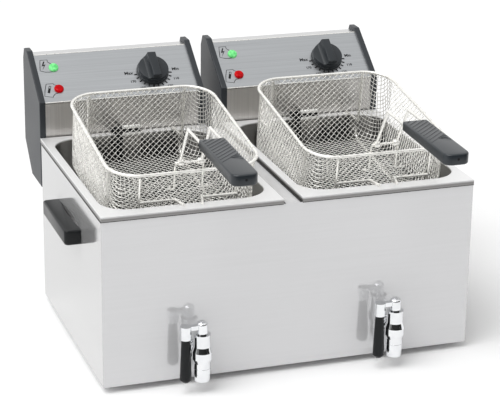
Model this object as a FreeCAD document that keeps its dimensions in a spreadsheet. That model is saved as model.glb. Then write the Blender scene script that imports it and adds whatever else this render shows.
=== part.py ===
import FreeCAD, Part
import Sketcher
import math
import os
import re

# Double countertop deep fryer: one casing, two tanks with drain taps, two lift-off heads, two baskets.
# Millimetres. Origin on the floor under the middle of the whole footprint, handles included,
# X right, Y to the back, Z up.

doc = FreeCAD.newDocument("deep_fryer")
sheet = doc.addObject("Spreadsheet::Sheet", "Sizes")
vector = FreeCAD.Vector
finished = []

# Driving sizes
SIZES = (
    ("casing_width", 545), ("casing_depth", 357), ("casing_height", 243), ("casing_sheet", 1.2),
    ("body_shift", 40.2), ("foot_height", 10), ("foot_radius", 14), ("foot_inset", 48),
    ("unit_offset", 143), ("unit_width", 259),
    ("rim_rise", 7), ("rim_lip", 3.2), ("rim_overhang", 2), ("rim_back", 5), ("bridge_side", 8),
    ("tank_sheet", 1.5), ("well_width", 237), ("well_front", 20), ("well_back", 9), ("well_corner", 40),
    ("well_floor", 32), ("well_round", 20),
    ("drain_height", 45), ("drain_radius", 9), ("drain_bore", 6.5),
    ("tap_shift", 3), ("tap_reach", 31), ("tap_clear", 8.7), ("tap_height", 68.8), ("tap_radius", 12),
    ("ball_radius", 14.2), ("flare_height", 12), ("ball_start", 27), ("ball_low", 33), ("ball_high", 43),
    ("neck_height", 51),
    ("spout_radius", 10.6), ("spout_bore", 6.5), ("nut_radius", 15), ("nut_depth", 5),
    ("pin_radius", 5), ("pin_length", 11), ("fit_gap", 0.06), ("lever_gap", 0.4), ("stem_radius", 8),
    ("stem_height", 17.5), ("lever_arm", 23.5), ("cap_radius", 8.1), ("cap_height", 19), ("arm_width", 8),
    ("arm_height", 6), ("arm_drop", 4), ("grip_top", 6.1), ("grip_bottom", 8.1), ("lever_length", 64.5),
    ("head_gap", 9), ("head_bottom", 172), ("knee_height", 303), ("panel_length", 93), ("panel_slope", 36),
    ("panel_sheet", 1.5), ("cheek_width", 9), ("cheek_lip", 3), ("head_depth", 104), ("head_slant", 48),
    ("crown_fall", 10), ("shelf_sheet", 2), ("shelf_rise", 50),
    ("knob_side", 57), ("knob_up", 44), ("knob_radius", 25), ("knob_disc", 10), ("knob_gap", 0.6),
    ("bar_width", 13), ("bar_height", 10), ("bar_tail", 22.5), ("bar_tip", 23.7), ("bar_round", 1.5),
    ("shaft_radius", 3), ("shaft_length", 9), ("switch_side", 36),
    ("switch_depth", 30), ("lamp_side", 94), ("green_up", 66), ("red_up", 24.5), ("lamp_radius", 7.4),
    ("lamp_height", 3.5), ("lamp_stem", 5),
    ("heater_radius", 4), ("heater_leg", 16), ("heater_side", 72), ("heater_rise", 22), ("heater_back", 18.5),
    ("heater_front", 28.5), ("plate_width", 28), ("plate_shift", 5), ("plate_drop", 205),
    ("bulb_radius", 3), ("bulb_length", 135), ("gland_radius", 11), ("gland_length", 18), ("gland_side", 80),
    ("handle_front", 112), ("handle_length", 139), ("handle_slant", 14), ("handle_depth", 23.7),
    ("handle_low", 170), ("handle_height", 22), ("finger_gap", 12), ("finger_slit", 3), ("finger_roof", 5),
    ("finger_length", 110),
    ("finger_shift", 2), ("handle_round", 3),
    ("basket_shift", 2.5), ("basket_front", 24), ("basket_height", 293), ("basket_tilt", 8.6),
    ("basket_width", 220), ("basket_length", 275), ("basket_depth", 108), ("basket_corner", 45),
    ("basket_skin", 1.2), ("basket_round", 16), ("rim_wire", 2.25), ("rest_wire", 2), ("rest_side", 70),
    ("rest_lift", 0.8), ("rest_inner", 15), ("hook_side", 73),
    ("axle_wire", 1.5), ("axle_rise", 14.8), ("axle_back", 2.2), ("axle_side", 20), ("leg_drop", 27),
    ("foot_side", 31), ("rod_wire", 2), ("rod_side", 15.2), ("eye_length", 4.8), ("bend_rise", 78),
    ("bend_front", 27), ("reach_slope", 7), ("reach", 55),
    ("grip_length", 142), ("grip_width", 35.5), ("grip_rise", 5), ("grip_drop", 8), ("grip_belly", 4.5),
    ("tip_round", 10),
)
for row, (alias, number) in enumerate(SIZES, start=1):
    sheet.set("A%d" % row, alias)
    sheet.set("B%d" % row, str(number))
    sheet.setAlias("B%d" % row, alias)
doc.recompute()

FUNCTIONS = ("sin", "cos", "deg")


# Formulas over the sheet
def formula(text):
    """Point every size name in a formula at its cell in the sheet."""
    return re.sub(r"[a-z][a-z_]*", lambda word: word.group() if word.group() in FUNCTIONS
                  else "Sizes." + word.group(), text)


def value(text):
    """The number a formula gives now."""
    return float(sheet.evalExpression(formula(text)))


def bind(thing, name, text):
    """Tie one property of a document object to a formula."""
    thing.setExpression(name, formula(text))


# Levels and lines that many sub-parts share
FRONT = "(body_shift - casing_depth / 2)"
BACK = "(body_shift + casing_depth / 2)"
CASING_TOP = "(foot_height + casing_height)"
RIM_TOP = "(foot_height + casing_height + rim_rise)"
WELL_FRONT = "(body_shift - casing_depth / 2 + well_front)"
WELL_BACK = "(body_shift + casing_depth / 2 - well_back)"
WELL_FLOOR = "(foot_height + well_floor)"
HEAD_FRONT = "(body_shift + casing_depth / 2 + head_gap)"
HEAD_BACK = "(body_shift + casing_depth / 2 + head_gap + head_depth)"
HEAD_LOW = "(foot_height + head_bottom)"
KNEE = "(foot_height + knee_height)"
CROWN_FRONT = "(body_shift + casing_depth / 2 + head_gap + panel_length * cos(panel_slope * 1deg))"
CROWN = "(foot_height + knee_height + panel_length * sin(panel_slope * 1deg))"
PANEL_HALF = "(unit_width / 2 - cheek_width)"
HEATER_BACK = "(body_shift + casing_depth / 2 - heater_back)"
HEATER_EXIT = "(foot_height + casing_height + rim_rise + 3 * heater_radius)"
RIM_SEAT = "(casing_height + rim_rise + rest_wire - basket_height)"


# Document helpers
def new_body(label):
    """A body that is handed in under its label."""
    body = doc.addObject("PartDesign::Body", label)
    body.Label = label
    finished.append(body)
    return body


def place(thing, across="0", along="0", up="0", tilt=None):
    """Set a sub-part in the shared frame, turned about X by the tilt if there is one."""
    if tilt:
        thing.Placement = FreeCAD.Placement(vector(), FreeCAD.Rotation(vector(1, 0, 0), value(tilt)))
        bind(thing, "Placement.Rotation.Angle", tilt + " * 1deg")
    bind(thing, "Placement.Base.x", across)
    bind(thing, "Placement.Base.y", along)
    bind(thing, "Placement.Base.z", up)


def new_sketch(body, plane, lift="0"):
    """A sketch on one of the body's own planes, lifted along the plane's normal."""
    sketch = body.newObject("Sketcher::SketchObject", body.Label + "_sketch")
    support = [part for part in body.Origin.OriginFeatures if part.Role == plane + "_Plane"][0]
    sketch.AttachmentSupport = [(support, "")]
    sketch.MapMode = "FlatFace"
    bind(sketch, "AttachmentOffset.Base.z", lift)
    return sketch


def hold(sketch, kind, line, corner, text):
    """Fix one coordinate of a point in a sketch to a formula."""
    number = sketch.addConstraint(Sketcher.Constraint(kind, -1, 1, line, corner, value(text)))
    bind(sketch, "Constraints[%d]" % number, text)


def polygon(sketch, corners):
    """A closed outline through corners given as pairs of formulas."""
    points = [vector(value(across), value(along), 0) for across, along in corners]
    first = sketch.GeometryCount
    for start, end in zip(points, points[1:] + points[:1]):
        sketch.addGeometry(Part.LineSegment(start, end))
    for number, (across, along) in enumerate(corners):
        line = first + number
        following = first + (number + 1) % len(corners)
        sketch.addConstraint(Sketcher.Constraint("Coincident", line, 2, following, 1))
        hold(sketch, "DistanceX", line, 1, across)
        hold(sketch, "DistanceY", line, 1, along)


def rectangle(sketch, left, right, low, high):
    polygon(sketch, [(left, low), (right, low), (right, high), (left, high)])


def circle(sketch, across, along, radius):
    ring = Part.Circle(vector(value(across), value(along), 0), vector(0, 0, 1), value(radius))
    number = sketch.addGeometry(ring)
    hold(sketch, "DistanceX", number, 3, across)
    hold(sketch, "DistanceY", number, 3, along)
    limit = sketch.addConstraint(Sketcher.Constraint("Radius", number, value(radius)))
    bind(sketch, "Constraints[%d]" % limit, radius)


def rounded(sketch, left, right, low, high, radius):
    """A rectangle with round corners: four lines and four arcs, held by tangents."""
    x0, x1, y0, y1, r = [value(text) for text in (left, right, low, high, radius)]
    ends = [((x0 + r, y0), (x1 - r, y0)), ((x1, y0 + r), (x1, y1 - r)),
            ((x1 - r, y1), (x0 + r, y1)), ((x0, y1 - r), (x0, y0 + r))]
    centres = [(x1 - r, y0 + r), (x1 - r, y1 - r), (x0 + r, y1 - r), (x0 + r, y0 + r)]
    for number in range(4):
        start, end = ends[number]
        sketch.addGeometry(Part.LineSegment(vector(*start, 0), vector(*end, 0)))
        ring = Part.Circle(vector(*centres[number], 0), vector(0, 0, 1), r)
        turn = (number - 1) * math.pi / 2
        sketch.addGeometry(Part.ArcOfCircle(ring, turn, turn + math.pi / 2))
    for number in range(4):
        line = 2 * number
        sketch.addConstraint(Sketcher.Constraint("Tangent", line, 2, line + 1, 1))
        sketch.addConstraint(Sketcher.Constraint("Tangent", line + 1, 2, (line + 2) % 8, 1))
        sketch.addConstraint(Sketcher.Constraint("Vertical" if number % 2 else "Horizontal", line))
        if number:
            sketch.addConstraint(Sketcher.Constraint("Equal", 1, line + 1))
    limit = sketch.addConstraint(Sketcher.Constraint("Radius", 1, value(radius)))
    bind(sketch, "Constraints[%d]" % limit, radius)
    hold(sketch, "DistanceY", 0, 1, low)
    hold(sketch, "DistanceX", 2, 1, right)
    hold(sketch, "DistanceY", 4, 1, high)
    hold(sketch, "DistanceX", 6, 1, left)


def grow(body, kind, sketch, length, reverse=False, both=False):
    """Add a Pad, or cut a Pocket, of a sketch by a formula for its length."""
    feature = body.newObject("PartDesign::" + kind, body.Label + "_" + kind.lower())
    feature.Profile = sketch
    feature.Reversed = reverse
    if both:
        feature.SideType = "Symmetric"
    bind(feature, "Length", length)
    sketch.Visibility = False
    doc.recompute()
    return feature


def pad(body, sketch, length, reverse=False, both=False):
    return grow(body, "Pad", sketch, length, reverse, both)


def pocket(body, sketch, length, reverse=False, both=False):
    return grow(body, "Pocket", sketch, length, reverse, both)


def turn(body, sketch):
    """Spin a half outline round the upright axis of its sketch."""
    feature = body.newObject("PartDesign::Revolution", body.Label + "_turned")
    feature.Profile = sketch
    feature.ReferenceAxis = (sketch, ["V_Axis"])
    feature.Angle = 360
    doc.recompute()
    return feature


def soften(body, radius, chosen):
    """Round the edges of the body's tip that pass a test."""
    base = body.Tip
    edges = ["Edge%d" % number for number, edge in enumerate(base.Shape.Edges, start=1) if chosen(edge)]
    feature = body.newObject("PartDesign::Fillet", body.Label + "_round")
    feature.Base = (base, edges)
    bind(feature, "Radius", radius)
    doc.recompute()
    return feature


def level(edge, height):
    """True for an edge that lies at one height."""
    return abs(edge.BoundBox.ZMin - height) < 0.01 and abs(edge.BoundBox.ZMax - height) < 0.01


def wire_pieces(points, radius):
    """Rods between points with a ball at every inner bend."""
    pieces = []
    for start, end in zip(points, points[1:]):
        rod = doc.addObject("Part::Cylinder", "rod")
        bind(rod, "Radius", radius)
        rod.Height = (end - start).Length
        rod.Placement = FreeCAD.Placement(start, FreeCAD.Rotation(vector(0, 0, 1), end - start))
        pieces.append(rod)
    for point in points[1:-1]:
        ball = doc.addObject("Part::Sphere", "bend")
        bind(ball, "Radius", radius)
        ball.Placement.Base = point
        pieces.append(ball)
    return pieces


def fuse(label, pieces):
    """One sub-part from several simple solids."""
    joined = doc.addObject("Part::MultiFuse", label)
    joined.Label = label
    joined.Shapes = pieces
    return joined


def point(across, along, up):
    return vector(value(across), value(along), value(up))


# Casing, base plate, feet, bridge, shelf and side handles
def make_casing():
    body = new_body("casing")
    outer = new_sketch(body, "XY", "foot_height")
    rectangle(outer, "-casing_width / 2", "casing_width / 2", FRONT, BACK)
    pad(body, outer, "casing_height")
    inner = new_sketch(body, "XY", "foot_height")
    rectangle(inner, "casing_sheet - casing_width / 2", "casing_width / 2 - casing_sheet",
              FRONT + " + casing_sheet", BACK + " - casing_sheet")
    pocket(body, inner, "casing_height", reverse=True)
    holes = new_sketch(body, "XZ")
    for side in ("-unit_offset", "unit_offset"):
        circle(holes, side + " + tap_shift", "foot_height + drain_height", "drain_radius + fit_gap")
    pocket(body, holes, "casing_depth", reverse=True)


def make_base_plate():
    body = new_body("base_plate")
    sketch = new_sketch(body, "XY", "foot_height")
    rectangle(sketch, "casing_sheet - casing_width / 2", "casing_width / 2 - casing_sheet",
              FRONT + " + casing_sheet", BACK + " - casing_sheet")
    pad(body, sketch, "casing_sheet")


def make_feet():
    feet = []
    for across in (-1, 1):
        for along in (-1, 1):
            foot = doc.addObject("Part::Cylinder", "foot")
            bind(foot, "Radius", "foot_radius")
            bind(foot, "Height", "foot_height")
            bind(foot, "Placement.Base.x", "%d * (casing_width / 2 - foot_inset)" % across)
            bind(foot, "Placement.Base.y", "body_shift + %d * (casing_depth / 2 - foot_inset)" % along)
            feet.append(foot)
    finished.append(fuse("feet", feet))


def make_bridge():
    body = new_body("centre_bridge")
    sketch = new_sketch(body, "XY", CASING_TOP)
    half = "unit_offset - unit_width / 2 + bridge_side"
    rectangle(sketch, "-(%s)" % half, half, FRONT + " + casing_sheet", BACK + " - casing_sheet")
    pad(body, sketch, "casing_sheet", reverse=True)


def make_shelf():
    body = new_body("head_shelf")
    profile = new_sketch(body, "YZ")
    polygon(profile, [
        (BACK, HEAD_LOW + " - shelf_sheet"), (HEAD_BACK + " - head_slant", HEAD_LOW + " - shelf_sheet"),
        (HEAD_BACK + " - head_slant", HEAD_LOW), (BACK + " + shelf_sheet", HEAD_LOW),
        (BACK + " + shelf_sheet", HEAD_LOW + " + shelf_rise"), (BACK, HEAD_LOW + " + shelf_rise")])
    pad(body, profile, "2 * unit_offset + unit_width - 4 * cheek_width", both=True)


def make_side_handle(label, sign):
    body = new_body(label)
    sketch = new_sketch(body, "XY", "foot_height + handle_low")
    wall = "%d * casing_width / 2" % sign
    outer = "%d * (casing_width / 2 + handle_depth)" % sign
    near = FRONT + " + handle_front"
    far = near + " + handle_length"
    polygon(sketch, [(wall, near), (outer, near), (outer, far + " - handle_slant"), (wall, far)])
    pad(body, sketch, "handle_height")
    limit = value("casing_width / 2 + finger_gap")
    soften(body, "handle_round", lambda edge: min(abs(end.X) for end in edge.Vertexes) > limit)
    for depth, height in (("finger_slit", "handle_height"), ("finger_gap", "handle_height - finger_roof")):
        hollow = new_sketch(body, "XY", "foot_height + handle_low")
        radius = "((finger_length * finger_length / 4 + %s * %s) / (2 * %s))" % (depth, depth, depth)
        centre = "%d * (casing_width / 2 + %s - %s)" % (sign, depth, radius)
        circle(hollow, centre, near + " + handle_length / 2 - finger_shift", radius)
        pocket(body, hollow, height, reverse=True)


# Tank and drain
def make_tank(name, unit):
    body = new_body(name + "_tank")
    half = "unit_width / 2"
    near = FRONT + " - rim_overhang"
    far = BACK + " + rim_back"
    plate = new_sketch(body, "XY", CASING_TOP)
    rectangle(plate, "-" + half, half, near, far)
    pad(body, plate, "rim_rise")
    under = new_sketch(body, "XY", CASING_TOP)
    rectangle(under, "rim_lip - " + half, half + " - rim_lip", near + " + rim_lip", far + " - rim_lip")
    pocket(body, under, "rim_rise - tank_sheet", reverse=True)
    pan = new_sketch(body, "XY", RIM_TOP + " - tank_sheet")
    rounded(pan, "-well_width / 2 - tank_sheet", "well_width / 2 + tank_sheet", WELL_FRONT + " - tank_sheet",
            WELL_BACK + " + tank_sheet", "well_corner + tank_sheet")
    pad(body, pan, "casing_height + rim_rise - well_floor", reverse=True)
    well = new_sketch(body, "XY", RIM_TOP)
    rounded(well, "-well_width / 2", "well_width / 2", WELL_FRONT, WELL_BACK, "well_corner")
    pocket(body, well, "casing_height + rim_rise - well_floor")
    floor = value(WELL_FLOOR)
    soften(body, "well_round", lambda edge: level(edge, floor))
    low = value(WELL_FLOOR + " - tank_sheet")
    soften(body, "well_round + tank_sheet", lambda edge: level(edge, low))
    drain = new_sketch(body, "XZ")
    circle(drain, "tap_shift", "foot_height + drain_height", "drain_radius")
    pocket(body, drain, "casing_depth / 2", reverse=True)
    place(body, unit)


def make_drain(name, unit):
    body = new_body(name + "_drain_pipe")
    sketch = new_sketch(body, "XZ", "-" + WELL_FRONT)
    circle(sketch, "tap_shift", "foot_height + drain_height", "drain_radius")
    circle(sketch, "tap_shift", "foot_height + drain_height", "drain_bore")
    pad(body, sketch, "well_front")
    place(body, unit)


# Drain tap
def place_tap(body, unit):
    place(body, unit + " + tap_shift", FRONT + " - tap_reach", "foot_height + tap_clear")


def make_tap_body(name, unit):
    body = new_body(name + "_tap_body")
    inlet = "drain_height - tap_clear"
    socket = "tap_height - pin_length - lever_gap"
    profile = new_sketch(body, "XZ")
    polygon(profile, [
        ("spout_bore", "0"), ("spout_radius", "0"), ("tap_radius", "flare_height"),
        ("tap_radius", "ball_start"),
        ("ball_radius", "ball_low"), ("ball_radius", "ball_high"),
        ("tap_radius", "neck_height"), ("tap_radius", "tap_height"),
        ("pin_radius + fit_gap", "tap_height"), ("pin_radius + fit_gap", socket), ("0", socket),
        ("0", inlet), ("spout_bore", inlet)])
    turn(body, profile)
    pipe = new_sketch(body, "XZ", "-tap_reach")
    circle(pipe, "0", inlet, "drain_radius")
    pad(body, pipe, "tap_reach - spout_bore")
    nut = new_sketch(body, "XZ", "-tap_reach")
    circle(nut, "0", inlet, "nut_radius")
    pad(body, nut, "nut_depth")
    place_tap(body, unit)


def make_tap_lever(name, unit):
    body = new_body(name + "_tap_lever")
    foot = "tap_height + lever_gap"
    top = "(tap_height + lever_gap + stem_height - arm_drop)"
    stem = new_sketch(body, "XY", foot)
    circle(stem, "0", "0", "stem_radius")
    pad(body, stem, "stem_height")
    crown = value(foot + " + stem_height")
    soften(body, "stem_radius / 2", lambda edge: level(edge, crown))
    pin = new_sketch(body, "XY", foot)
    circle(pin, "0", "0", "pin_radius")
    pad(body, pin, "pin_length", reverse=True)
    arm = new_sketch(body, "XY", top)
    rectangle(arm, "-lever_arm", "0", "-arm_width / 2", "arm_width / 2")
    pad(body, arm, "arm_height", reverse=True)
    cap = new_sketch(body, "XY", top)
    circle(cap, "-lever_arm", "0", "cap_radius")
    pad(body, cap, "cap_height", reverse=True)
    place_tap(body, unit)


def make_tap_grip(name, unit):
    body = new_body(name + "_tap_grip")
    top = "tap_height + lever_gap + stem_height - arm_drop - cap_height"
    end = top + " - lever_length"
    profile = new_sketch(body, "XZ")
    polygon(profile, [
        ("0", end), ("grip_bottom / 2", end), ("grip_bottom", end + " + grip_bottom / 2"),
        ("grip_bottom", end + " + grip_bottom * 1.5"), ("grip_top", top), ("0", top)])
    turn(body, profile)
    place(body, unit + " + tap_shift - lever_arm", FRONT + " - tap_reach", "foot_height + tap_clear")


# Head: housing, plates, cheeks
def make_housing(name, unit):
    body = new_body(name + "_head_housing")
    low, back, gauge = HEAD_LOW, HEAD_BACK, "panel_sheet"
    slant = HEAD_LOW + " + head_slant"
    inner = HEAD_FRONT + " + panel_sheet"
    profile = new_sketch(body, "YZ")
    polygon(profile, [
        (CROWN_FRONT, CROWN), (back + " - crown_fall", CROWN), (back, CROWN + " - crown_fall"),
        (back, slant), (back + " - head_slant", low), (inner, low),
        (inner, low + " + " + gauge), (back + " - head_slant - 0.5 * " + gauge, low + " + " + gauge),
        (back + " - " + gauge, slant + " + 0.5 * " + gauge),
        (back + " - " + gauge, CROWN + " - crown_fall - 0.5 * " + gauge),
        (back + " - crown_fall - 0.5 * " + gauge, CROWN + " - " + gauge),
        (CROWN_FRONT + " + 2 * " + gauge, CROWN + " - " + gauge)])
    pad(body, profile, "unit_width - 2 * cheek_width", both=True)
    place(body, unit)


def make_front_plate(name, unit):
    body = new_body(name + "_front_plate")
    sketch = new_sketch(body, "XZ", "-" + HEAD_FRONT)
    top = KNEE + " - panel_sheet / cos(panel_slope * 1deg)"
    rectangle(sketch, "-" + PANEL_HALF, PANEL_HALF, HEAD_LOW, top)
    for side in ("-heater_leg", "heater_leg"):
        circle(sketch, side, HEATER_EXIT, "heater_radius")
    pad(body, sketch, "panel_sheet", reverse=True)
    place(body, unit)


def make_cheek(name, unit, side, sign):
    body = new_body(name + "_cheek_" + side)
    profile = new_sketch(body, "YZ", "%d * (unit_width / 2 - cheek_width)" % sign)
    rise, fall = "cos(panel_slope * 1deg)", "sin(panel_slope * 1deg)"
    reach = "(panel_length + 2 * cheek_lip)"
    polygon(profile, [
        (HEAD_FRONT + " - cheek_lip", HEAD_LOW), (HEAD_FRONT + " - cheek_lip", KNEE + " + cheek_lip / 2"),
        ("%s + %s * %s - cheek_lip * %s" % (HEAD_FRONT, reach, rise, fall),
         "%s + %s * %s + cheek_lip * %s" % (KNEE, reach, fall, rise)),
        (HEAD_BACK + " - crown_fall / 2", CROWN + " + 2 * cheek_lip"),
        (HEAD_BACK + " + cheek_lip", CROWN + " - crown_fall"),
        (HEAD_BACK + " + cheek_lip", HEAD_LOW + " + head_slant - cheek_lip"),
        (HEAD_BACK + " - head_slant + 2 * cheek_lip", HEAD_LOW)])
    pad(body, profile, "cheek_width", reverse=sign < 0)
    back = value(HEAD_BACK + " - 2 * crown_fall")
    top = value(CROWN)
    soften(body, "2 * cheek_lip", lambda edge: abs(edge.BoundBox.XLength - value("cheek_width")) < 0.01
           and edge.BoundBox.ZMin > top and edge.BoundBox.YMax < back)
    outer = value("unit_width / 2")
    soften(body, "cheek_lip / 2", lambda edge: abs(edge.BoundBox.XLength) < 0.01
           and abs(abs(edge.BoundBox.XMin) - outer) < 0.01)
    place(body, unit)


# Sloped panel and what sits on it, drawn in the panel's own plane
def place_on_panel(thing, unit):
    place(thing, unit, HEAD_FRONT, KNEE, "panel_slope")


def make_panel(name, unit):
    body = new_body(name + "_control_panel")
    sketch = new_sketch(body, "XY")
    rectangle(sketch, "-" + PANEL_HALF, PANEL_HALF, "0", "panel_length")
    circle(sketch, "knob_side", "knob_up", "shaft_radius * 1.5")
    circle(sketch, "-lamp_side", "green_up", "lamp_stem")
    circle(sketch, "-lamp_side", "red_up", "lamp_stem")
    pad(body, sketch, "panel_sheet", reverse=True)
    place_on_panel(body, unit)


def make_knob(name, unit):
    body = new_body(name + "_knob")
    disc = new_sketch(body, "XY", "knob_gap")
    circle(disc, "knob_side", "knob_up", "knob_radius")
    pad(body, disc, "knob_disc")
    bar = new_sketch(body, "XY", "knob_gap + knob_disc")
    rectangle(bar, "knob_side - bar_width / 2", "knob_side + bar_width / 2",
              "knob_up - bar_tail", "knob_up + bar_tip")
    pad(body, bar, "bar_height")
    top = value("knob_gap + knob_disc + bar_height")
    soften(body, "bar_round", lambda edge: level(edge, top))
    bore = new_sketch(body, "XY", "knob_gap")
    circle(bore, "knob_side", "knob_up", "shaft_radius + fit_gap")
    pocket(body, bore, "shaft_length + knob_gap", reverse=True)
    place_on_panel(body, unit)


def make_thermostat(name, unit):
    body = new_body(name + "_thermostat")
    block = new_sketch(body, "XY", "-panel_sheet")
    rectangle(block, "knob_side - switch_side / 2", "knob_side + switch_side / 2",
              "knob_up - switch_side / 2", "knob_up + switch_side / 2")
    pad(body, block, "switch_depth", reverse=True)
    shaft = new_sketch(body, "XY", "-panel_sheet")
    circle(shaft, "knob_side", "knob_up", "shaft_radius")
    pad(body, shaft, "panel_sheet + shaft_length")
    place_on_panel(body, unit)


def make_lamp(name, unit, colour):
    body = new_body("%s_%s_lamp" % (name, colour))
    height = colour + "_up"
    lens = new_sketch(body, "XY")
    circle(lens, "-lamp_side", height, "lamp_radius")
    pad(body, lens, "lamp_height")
    top = value("lamp_height")
    soften(body, "lamp_height * 0.8", lambda edge: level(edge, top))
    stem = new_sketch(body, "XY")
    circle(stem, "-lamp_side", height, "lamp_stem")
    pad(body, stem, "4 * lamp_height", reverse=True)
    place_on_panel(body, unit)


# Heater, its hanger plate, the sensor bulb and the cable gland
def make_heater(name, unit):
    floor = WELL_FLOOR + " + heater_rise"
    near = WELL_FRONT + " + heater_front"
    turn_in = HEATER_BACK + " - heater_leg"
    half = [("heater_leg", HEAD_FRONT + " + panel_sheet", HEATER_EXIT),
            ("heater_leg", HEATER_BACK, HEATER_EXIT), ("heater_leg", HEATER_BACK, floor),
            ("heater_side", turn_in, floor), ("heater_side", near, floor)]
    right = [point(*spot) for spot in half]
    left = [vector(-spot.x, spot.y, spot.z) for spot in reversed(right)]
    heater = fuse(name + "_heater", wire_pieces(right + left, "heater_radius"))
    place(heater, unit)
    finished.append(heater)


def make_hanger(name, unit):
    body = new_body(name + "_heater_hanger")
    top = HEATER_EXIT + " + heater_radius + panel_sheet"
    face = HEATER_BACK + " - heater_radius - panel_sheet"
    profile = new_sketch(body, "YZ", "plate_shift")
    polygon(profile, [
        (face, top + " - plate_drop"), (face + " + panel_sheet", top + " - plate_drop"),
        (face + " + panel_sheet", top + " - panel_sheet"), (HEAD_FRONT, top + " - panel_sheet"),
        (HEAD_FRONT, top), (face, top)])
    pad(body, profile, "plate_width", both=True)
    place(body, unit)


def make_bulb(name, unit):
    body = new_body(name + "_sensor_bulb")
    face = HEATER_BACK + " - heater_radius - panel_sheet"
    sketch = new_sketch(body, "XZ", "-(%s)" % face)
    circle(sketch, "plate_shift", WELL_FLOOR + " + heater_rise + 3 * heater_radius", "bulb_radius")
    pad(body, sketch, "bulb_length")
    place(body, unit)


def make_gland(name, unit):
    body = new_body(name + "_cable_gland")
    sketch = new_sketch(body, "XZ", "-" + HEAD_BACK)
    circle(sketch, "gland_side", HEAD_LOW + " + 2 * head_slant", "gland_radius")
    circle(sketch, "gland_side", HEAD_LOW + " + 2 * head_slant", "gland_radius / 2")
    pad(body, sketch, "gland_length", reverse=True)
    place(body, unit)


# Basket, drawn level with its front rim at the origin and then tilted
def place_basket(thing, unit):
    place(thing, unit + " + basket_shift", FRONT + " + basket_front", "foot_height + basket_height",
          "basket_tilt")


def make_basket_shell(name, unit):
    body = new_body(name + "_basket")
    half, inset = "basket_width / 2", "2 * rim_wire"
    outer = new_sketch(body, "XY")
    rounded(outer, inset + " - " + half, half + " - " + inset, inset, "basket_length - " + inset,
            "basket_corner - " + inset)
    pad(body, outer, "basket_depth", reverse=True)
    inner = new_sketch(body, "XY")
    inset = "(2 * rim_wire + basket_skin)"
    rounded(inner, inset + " - " + half, half + " - " + inset, inset, "basket_length - " + inset,
            "basket_corner - " + inset)
    pocket(body, inner, "basket_depth - basket_skin")
    floor = value("basket_skin - basket_depth")
    soften(body, "basket_round", lambda edge: level(edge, floor))
    low = value("-basket_depth")
    soften(body, "basket_round + basket_skin", lambda edge: level(edge, low))
    place_basket(body, unit)


def make_basket_rim(name, unit):
    body = new_body(name + "_basket_rim")
    half, corner = "(basket_width / 2 - rim_wire)", "(basket_corner - rim_wire)"
    path = new_sketch(body, "XY")
    rounded(path, "-" + half, half, "rim_wire", "basket_length - rim_wire", corner)
    ring = new_sketch(body, "YZ", corner + " - " + half)
    circle(ring, "rim_wire", "0", "rim_wire")
    pipe = body.newObject("PartDesign::AdditivePipe", body.Label + "_pipe")
    pipe.Profile = ring
    pipe.Spine = path
    doc.recompute()
    place_basket(body, unit)


def levelled(along, up):
    """Formulas in the tilted basket's frame for a spot given by its level distances from the front rim."""
    tilt = "basket_tilt * 1deg"
    return ("(%s) * cos(%s) + (%s) * sin(%s)" % (along, tilt, up, tilt),
            "(%s) * cos(%s) - (%s) * sin(%s)" % (up, tilt, along, tilt))


def seat_level(along):
    """Formula for the height, in the tilted frame, that clears the tank's rim at a distance along."""
    return "(%s + rest_lift - (%s) * sin(basket_tilt * 1deg)) / cos(basket_tilt * 1deg)" % (RIM_SEAT, along)


def make_wire_pair(label, unit, spots):
    """Two bent wires on the basket, one the mirror of the other."""
    pieces = []
    for sign in (-1, 1):
        points = [point("%d * (%s)" % (sign, across), along, up) for across, along, up in spots]
        pieces += wire_pieces(points, "rest_wire")
    pair = fuse(label, pieces)
    place_basket(pair, unit)
    finished.append(pair)


def make_rests(name, unit):
    """Wires on the front wall that stand on the tank's front rim."""
    wall = "2 * rim_wire - rest_wire"
    seat = levelled("well_front / 2 - basket_front", RIM_SEAT)
    make_wire_pair(name + "_basket_rests", unit, [
        ("rest_side", wall, seat_level(wall)), ("rest_inner + 2 * rest_wire", wall, seat_level(wall)),
        ("rest_inner - rest_wire",) + seat])


def make_hooks(name, unit):
    """Wires on the rear wall that stand on the tank's rear rim."""
    wall = "basket_length - 2 * rim_wire + rest_wire"
    seat = levelled("casing_depth - well_back / 4 - basket_front", RIM_SEAT)
    make_wire_pair(name + "_basket_hooks", unit, [
        ("hook_side", wall, "-2 * rim_wire"), ("hook_side", wall, seat_level(wall)),
        ("hook_side",) + seat])


def make_axle(name, unit):
    """The bent wire inside the front wall that carries the folding handle."""
    wall = "2 * rim_wire + basket_skin + axle_wire"
    half = [("foot_side", wall, "-leg_drop"), ("axle_side", wall, "-leg_drop"),
            ("axle_side", wall, "axle_rise / 2"), ("axle_side", "axle_back", "axle_rise")]
    right = [point(*spot) for spot in half]
    left = [vector(-spot.x, spot.y, spot.z) for spot in reversed(right)]
    axle = fuse(name + "_handle_axle", wire_pieces(right + left, "axle_wire"))
    place_basket(axle, unit)
    finished.append(axle)


def reach_spot(far, high):
    """A spot on the handle, by its distance along the reach from the bend and its height off it."""
    slope = "reach_slope * 1deg"
    return ("-bend_front - (%s) * cos(%s) + (%s) * sin(%s)" % (far, slope, high, slope),
            "bend_rise + (%s) * sin(%s) + (%s) * cos(%s)" % (far, slope, high, slope))


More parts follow.
